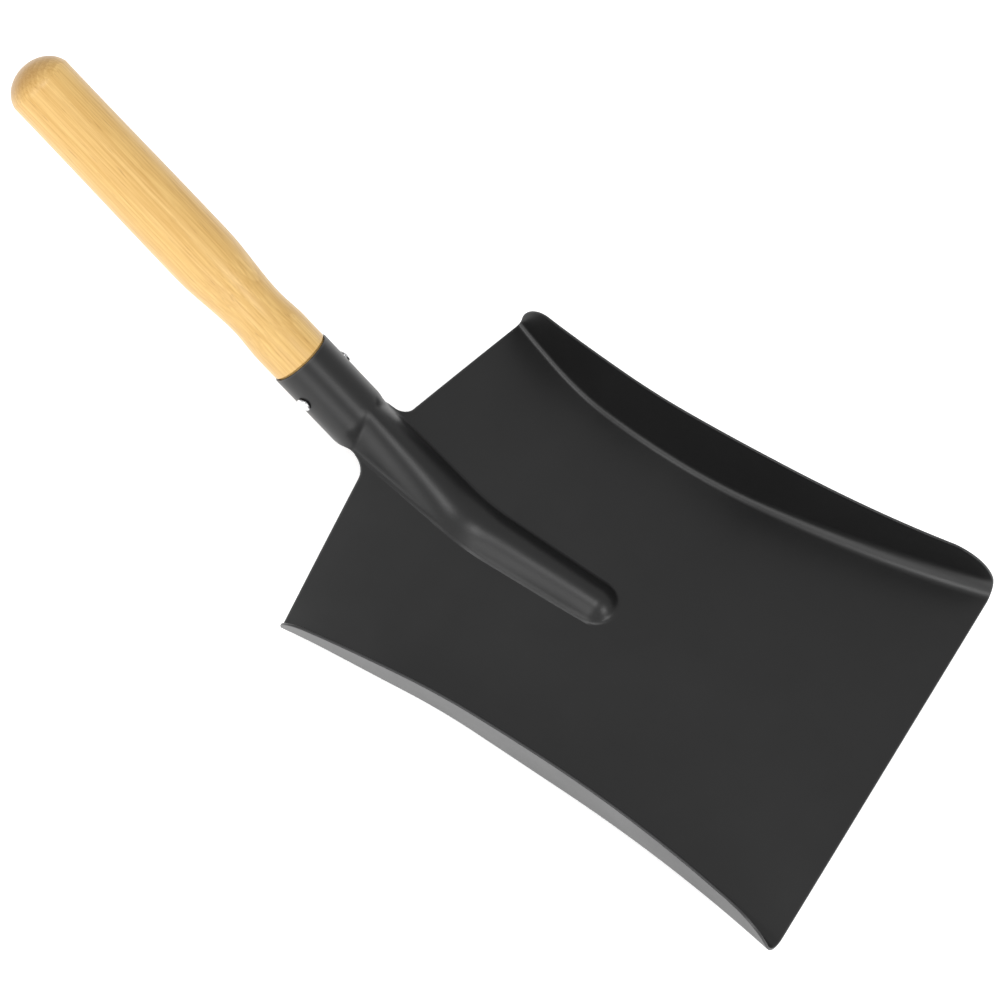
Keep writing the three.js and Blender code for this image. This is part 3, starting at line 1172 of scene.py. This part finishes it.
class Turning(NodeGraph):
    """Geometry Nodes tree for a piece turned about one line, with named inputs for its sizes.

    The tree starts as a grid, one column of points for each row of the outline. The piece's own rule
    gives each row its run along the line and its radius.
    """

    def __init__(self, name: str, sizes: dict[str, float]) -> None:
        """Makes the tree.

        Args:
            name: Of the tree.
            sizes: Named inputs and their values.
        """
        super().__init__(bpy.data.node_groups.new(name, "GeometryNodeTree"))
        self.sizes = sizes
        faces = self.tree.interface
        faces.new_socket("Geometry", in_out="OUTPUT", socket_type="NodeSocketGeometry")
        faces.new_socket("Geometry", in_out="INPUT", socket_type="NodeSocketGeometry")
        for size in sizes:
            faces.new_socket(size, in_out="INPUT", socket_type="NodeSocketFloat")
        faces.new_socket("Finish", in_out="INPUT", socket_type="NodeSocketMaterial")
        self.given = self.node("NodeGroupInput").outputs

    def size(self, name: str) -> bpy.types.NodeSocket:
        """The input called name."""
        return self.given[name]

    def row(self, rows: int) -> bpy.types.NodeSocket:
        """Number of the row that a point is on.

        Args:
            rows: Number of steps along the outline.

        Returns:
            The number, counted from 0.
        """
        place = self.node("ShaderNodeSeparateXYZ")
        self.feed(place.inputs[0], self.node("GeometryNodeInputPosition").outputs[0])
        return self.math("ROUND", self.math("MULTIPLY", self.math("ADD", place.outputs[0], 0.5), rows))

    def pick(self, row: bpy.types.NodeSocket, choices: Sequence[Any]) -> bpy.types.NodeSocket:
        """Picks a value for each row.

        Args:
            row: Number of the row.
            choices: Value for each row in turn; the last one holds for every row past the end.

        Returns:
            The value.
        """
        made = self.node("GeometryNodeIndexSwitch", data_type="FLOAT")
        while len(made.index_switch_items) < len(choices):
            made.index_switch_items.new()
        self.feed(made.inputs[0], self.math("MINIMUM", row, len(choices) - 1))
        for socket, value in zip(list(made.inputs)[1:], choices):
            self.feed(socket, value)
        return made.outputs[0]

    def finish(self, rows: int, segments: int, run: bpy.types.NodeSocket, radius: bpy.types.NodeSocket,
               extra: dict[str, bpy.types.NodeSocket]) -> None:
        """Turns the grid about the line, closes it and gives it its finish.

        Args:
            rows: Number of steps along the outline.
            segments: Number of steps round the line.
            run: Of each row along the line.
            radius: Of each row.
            extra: Values to store on the points, by name.
        """
        grid = self.node("GeometryNodeMeshGrid")
        for name, value in (("Size X", 1.0), ("Size Y", 1.0), ("Vertices X", rows + 1),
                            ("Vertices Y", segments + 1)):
            grid.inputs[name].default_value = value
        place = self.node("ShaderNodeSeparateXYZ")
        self.feed(place.inputs[0], self.node("GeometryNodeInputPosition").outputs[0])
        turn = self.math("MULTIPLY", place.outputs[1], 2 * math.pi)
        spot = self.node("ShaderNodeCombineXYZ")
        self.feed(spot.inputs[0], self.math("MULTIPLY", radius, self.math("COSINE", turn)))
        self.feed(spot.inputs[1], self.math("MULTIPLY", radius, self.math("SINE", turn)))
        self.feed(spot.inputs[2], run)
        shaped = grid.outputs["Mesh"]
        for name, value in extra.items():
            store = self.node("GeometryNodeStoreNamedAttribute", data_type="FLOAT", domain="POINT")
            self.feed(store.inputs["Geometry"], shaped)
            self.feed(store.inputs["Name"], name)
            self.feed(store.inputs["Value"], value)
            shaped = store.outputs[0]
        move = self.node("GeometryNodeSetPosition")
        self.feed(move.inputs["Geometry"], shaped)
        self.feed(move.inputs["Position"], spot.outputs[0])
        merge = self.node("GeometryNodeMergeByDistance")
        self.feed(merge.inputs["Geometry"], move.outputs[0])
        merge.inputs["Distance"].default_value = 0.000001
        real = self.node("GeometryNodeRealizeInstances")
        self.feed(real.inputs[0], merge.outputs[0])
        paint = self.node("GeometryNodeSetMaterial")
        self.feed(paint.inputs["Geometry"], real.outputs[0])
        self.feed(paint.inputs["Material"], self.size("Finish"))
        self.feed(self.node("NodeGroupOutput").inputs[0], paint.outputs[0])

    def make(self, name: str, finish: bpy.types.Material, place: Matrix,
             sharp: float) -> bpy.types.Object:
        """Runs the tree once and keeps its result as a plain mesh.

        Args:
            name: Of the piece.
            finish: Its material.
            place: Matrix that puts the turned shape where it belongs.
            sharp: Angle past which an edge stays crisp.

        Returns:
            The piece, with no modifier left on it.
        """
        holder = new_object(name, bpy.data.meshes.new(name + "_start"))
        modifier = holder.modifiers.new("turning", "NODES")
        modifier.node_group = self.tree
        sockets = {item.name: item.identifier for item in self.tree.interface.items_tree
                   if item.in_out == "INPUT"}
        for size, value in self.sizes.items():
            modifier[sockets[size]] = value
        modifier[sockets["Finish"]] = finish
        graph = bpy.context.evaluated_depsgraph_get()
        mesh = bpy.data.meshes.new_from_object(holder.evaluated_get(graph), depsgraph=graph)
        holder.modifiers.clear()
        holder.data = mesh
        mesh.name = name
        shape = bmesh.new()
        shape.from_mesh(mesh)
        bmesh.ops.dissolve_degenerate(shape, dist=1e-7, edges=shape.edges)
        bmesh.ops.recalc_face_normals(shape, faces=shape.faces)
        shape.to_mesh(mesh)
        shape.free()
        mesh.transform(place)
        mesh.shade_smooth()
        mesh.set_sharp_from_angle(angle=sharp)
        return holder


@dataclass
class Handle:
    """The turned wooden handle, with its spigot inside the socket.

    Attributes:
        line: The line it is turned about.
        length: From the mouth of the socket to the tip.
        collar_radius: At the mouth.
        collar_length: Straight part next to the mouth.
        waist_radius: Of the waist.
        waist_at: From the mouth to the waist.
        swell_radius: Of the swell.
        swell_at: From the mouth to the swell.
        end_radius: At the far end.
        dome: Depth of the domed tip.
        ridge: Turn left at the base of the dome, which shows as a soft ridge.
        spigot_radius: Of the spigot.
        spigot_length: Of the spigot.
        chamfer: On the end of the spigot.
        gap: Between the wood and the mouth.
        easing: Sanded edge of the collar.
    """

    line: HandleLine
    length: float = 185.0
    collar_radius: float = 15.4
    collar_length: float = 13.0
    waist_radius: float = 14.3
    waist_at: float = 31.0
    swell_radius: float = 16.7
    swell_at: float = 68.0
    end_radius: float = 15.9
    dome: float = 11.0
    ridge: float = math.radians(9)
    spigot_radius: float = 14.3
    spigot_length: float = 31.0
    chamfer: float = 3.0
    gap: float = 0.5
    easing: float = 0.5

    def build(self) -> bpy.types.Object:
        """Turns the handle.

        Returns:
            The handle.
        """
        sizes = {"Length": self.length, "Collar radius": self.collar_radius,
                 "Collar length": self.collar_length, "Waist radius": self.waist_radius,
                 "Waist at": self.waist_at, "Swell radius": self.swell_radius,
                 "Swell at": self.swell_at, "End radius": self.end_radius, "Dome": self.dome,
                 "Spigot radius": self.spigot_radius, "Spigot length": self.spigot_length,
                 "Chamfer": self.chamfer, "Gap": self.gap, "Easing": self.easing}
        tree = Turning("turned_handle", {name: value * MM for name, value in sizes.items()})
        inner, straight, domed = 5, 150, 28
        rows = inner + straight + domed
        row = tree.row(rows)
        size = tree.size
        straight_end = tree.math("SUBTRACT", size("Length"), size("Dome"))
        first = tree.math("ADD", size("Gap"), size("Easing"))
        run = tree.scale_range(row, inner, inner + straight, first, straight_end)
        turn = tree.scale_range(row, inner + straight, rows, self.ridge, math.pi / 2)
        depth = tree.scale_range(tree.math("SINE", turn), math.sin(self.ridge), 1, 0, 1)
        tip = tree.math("MULTIPLY", size("Dome"), depth)
        radius = size("Collar radius")
        for start, end, before, after in (
                (size("Collar length"), size("Waist at"), size("Collar radius"), size("Waist radius")),
                (size("Waist at"), size("Swell at"), size("Waist radius"), size("Swell radius")),
                (size("Swell at"), straight_end, size("Swell radius"), size("End radius"))):
            change = tree.math("SUBTRACT", after, before)
            radius = tree.math("ADD", radius, tree.scale_range(run, start, end, 0, change, smooth=True))
        narrow = tree.math("DIVIDE", tree.math("COSINE", turn), math.cos(self.ridge))
        radius = tree.math("MULTIPLY", radius, tree.math("MAXIMUM", narrow, 0))
        radius = tree.math("MULTIPLY", radius, tree.math("LESS_THAN", row, rows - 0.5))
        back = tree.math("MULTIPLY", size("Spigot length"), -1)
        runs = [back, back, tree.math("ADD", back, size("Chamfer")), size("Gap"), size("Gap"),
                tree.math("ADD", run, tip)]
        radii = [0.0, tree.math("SUBTRACT", size("Spigot radius"), size("Chamfer")), size("Spigot radius"),
                 size("Spigot radius"), tree.math("SUBTRACT", size("Collar radius"), size("Easing")),
                 radius]
        end_grain = tree.scale_range(turn, 0.25, 0.8, 0, 1, smooth=True)
        tree.finish(rows, 112, tree.pick(row, runs), tree.pick(row, radii), {"end_grain": end_grain})
        tilt = Matrix.Rotation(-(math.pi / 2 - self.line.angle), 4, "Y")
        centre = to_frame(self.line) @ self.line.mouth
        finish = LacqueredWood(self.line).material()
        return tree.make("turned_handle", finish, Matrix.Translation(centre) @ tilt, math.radians(28))

    def dress(self, handle: bpy.types.Object) -> None:
        """Gives the handle its place in the frame."""
        install(handle, "handle", Slot.WOOD)


@dataclass
class Rivet:
    """The rivet across the socket, with a domed head at each end.

    Attributes:
        line: The line that it crosses.
        shank_radius: Of the shank.
        head_radius: Of the heads.
        head_height: Of the heads.
        seat: From the line to the underside of a head.
        head_edge: Height of the head's straight edge.
    """

    line: HandleLine
    shank_radius: float = 2.4
    head_radius: float = 3.6
    head_height: float = 1.5
    seat: float = 16.3
    head_edge: float = 0.35

    def build(self) -> bpy.types.Object:
        """Turns the rivet.

        Returns:
            The rivet.
        """
        sizes = {"Shank radius": self.shank_radius, "Head radius": self.head_radius,
                 "Head height": self.head_height, "Seat": self.seat, "Head edge": self.head_edge}
        tree = Turning("domed_rivet", {name: value * MM for name, value in sizes.items()})
        half = 18
        rows = 2 * half + 1
        row = tree.row(rows)
        size = tree.size
        side = tree.math("SIGN", tree.math("SUBTRACT", row, rows / 2))
        step = tree.math("SUBTRACT", tree.math("ABSOLUTE", tree.math("SUBTRACT", row, rows / 2)), 0.5)
        turn = tree.scale_range(step, 2, half, 0, math.pi / 2)
        base = tree.math("ADD", size("Seat"), size("Head edge"))
        dome = tree.math("SUBTRACT", size("Head height"), size("Head edge"))
        outer = tree.math("ADD", base, tree.math("MULTIPLY", dome, tree.math("SINE", turn)))
        narrow = tree.math("MAXIMUM", tree.math("COSINE", turn), 0)
        radius = tree.math("MULTIPLY", size("Head radius"), narrow)
        radius = tree.math("MULTIPLY", radius, tree.math("LESS_THAN", step, half - 0.5))
        run = tree.pick(step, [size("Seat"), size("Seat"), outer])
        wide = tree.pick(step, [size("Shank radius"), size("Head radius"), radius])
        tree.finish(rows, 56, tree.math("MULTIPLY", run, side), wide, {})
        place = Matrix.Translation(to_frame(self.line) @ self.line.rivet)
        turned = Matrix.Rotation(-math.pi / 2, 4, "X")
        return tree.make("domed_rivet", BrightSteel().material(), place @ turned, math.radians(40))

    def dress(self, rivet: bpy.types.Object) -> None:
        """Gives the rivet its place in the frame."""
        install(rivet, "rivet", Slot.STEEL)


# ==== Studio ====================================================================================

@dataclass(frozen=True)
class Viewpoint:
    """Camera placed by its bearing from a point on the shovel, in metres and degrees.

    Attributes:
        target: Point in the middle of the view.
        distance: From the target to the camera.
        azimuth: 0 looks along +Y, and 90 along -X.
        elevation: Above the horizon.
        roll: Lean of the camera to its right.
        lens: Focal length in millimetres, on a sensor 36 mm wide.
    """

    target: tuple[float, float, float] = (0.02668, 0.00264, 0.03621)
    distance: float = 1.03007
    azimuth: float = 22.105
    elevation: float = 63.452
    roll: float = -12.598
    lens: float = 77.4

    def build(self) -> None:
        """Makes the scene's camera."""
        lean = math.radians(self.roll)
        back = bearing(self.azimuth, self.elevation)
        level = (-back).cross(Vector((0, 0, 1))).normalized()
        upright = level.cross(-back)
        up = upright * math.cos(lean) + level * math.sin(lean)
        right = (-back).cross(up)
        camera = bpy.data.objects.new("camera", bpy.data.cameras.new("camera"))
        camera.data.lens = self.lens
        camera.data.sensor_width = 36.0
        camera.data.clip_start = 0.01
        turned = Matrix((right, up, back)).transposed().to_4x4()
        camera.matrix_world = Matrix.Translation(Vector(self.target) + back * self.distance) @ turned
        bpy.context.scene.collection.objects.link(camera)
        bpy.context.scene.camera = camera


@dataclass(frozen=True)
class Softbox:
    """A square soft light that faces the shovel.

    Attributes:
        name: Of the light.
        azimuth: Bearing that it stands on, counted as the camera's.
        elevation: Above the horizon, in degrees.
        distance: From the shovel.
        size: Of its side.
        power: In watts.
    """

    name: str
    azimuth: float
    elevation: float
    distance: float
    size: float
    power: float

    def build(self, centre: Vector) -> None:
        """Hangs the light.

        Args:
            centre: Point that it faces.
        """
        back = bearing(self.azimuth, self.elevation)
        light = bpy.data.lights.new(self.name, "AREA")
        light.size = self.size
        light.energy = self.power
        lamp = bpy.data.objects.new(self.name, light)
        lamp.location = centre + back * self.distance
        lamp.rotation_mode = "QUATERNION"
        lamp.rotation_quaternion = back.to_track_quat("Z", "Y")
        bpy.context.scene.collection.objects.link(lamp)


@dataclass(frozen=True)
class Studio:
    """Pale floor and soft light.

    Attributes:
        floor_half: Half width of the floor.
        floor_colour: Of the floor.
        glow: Strength of the light that comes up through the floor.
        sky: Strength of the even light all round.
        boxes: The soft lights.
        aim: Point that they face.
    """

    floor_half: float = 6.0
    floor_colour: tuple[float, float, float, float] = (0.9, 0.9, 0.9, 1)
    glow: float = 0.55
    sky: float = 0.62
    boxes: tuple[Softbox, ...] = (
        Softbox("overhead_softbox", 10, 76, 1.5, 0.55, 5.5),
        Softbox("side_softbox", 350, 37, 1.6, 0.9, 6.0),
        Softbox("low_softbox", 33, 11, 1.6, 0.8, 5.0),
        Softbox("front_softbox", 82, 36, 1.6, 0.4, 4.5),
    )
    aim: tuple[float, float, float] = (0.02, 0, 0.03)

    def build(self) -> None:
        """Lays the floor and hangs the lights."""
        half = self.floor_half
        mesh = bpy.data.meshes.new("floor")
        mesh.from_pydata([(-half, -half, 0), (half, -half, 0), (half, half, 0), (-half, half, 0)], [],
                         [(0, 1, 2, 3)])
        finish = bpy.data.materials.new("pale_floor")
        finish.use_nodes = True
        shader = finish.node_tree.nodes["Principled BSDF"]
        shader.inputs["Base Color"].default_value = self.floor_colour
        shader.inputs["Roughness"].default_value = 0.9
        shader.inputs["Emission Color"].default_value = (1, 1, 1, 1)
        shader.inputs["Emission Strength"].default_value = self.glow
        mesh.materials.append(finish)
        new_object("floor", mesh)
        world = bpy.data.worlds.new("studio")
        world.use_nodes = True
        world.node_tree.nodes["Background"].inputs["Color"].default_value = (1, 1, 1, 1)
        world.node_tree.nodes["Background"].inputs["Strength"].default_value = self.sky
        bpy.context.scene.world = world
        for box in self.boxes:
            box.build(Vector(self.aim))


# ==== Assembly ==================================================================================

def main() -> None:
    """Builds the camera, the studio and the three pieces."""
    logging.basicConfig(level=logging.INFO, format="%(name)s: %(message)s")
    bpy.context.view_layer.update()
    bpy.context.scene.view_settings.view_transform = "Standard"
    Viewpoint().build()
    Studio().build()
    line = HandleLine()
    for part in (Blade(PanShape(line)), Handle(line), Rivet(line)):
        part.dress(part.build())


if __name__ == "__main__":
    main()
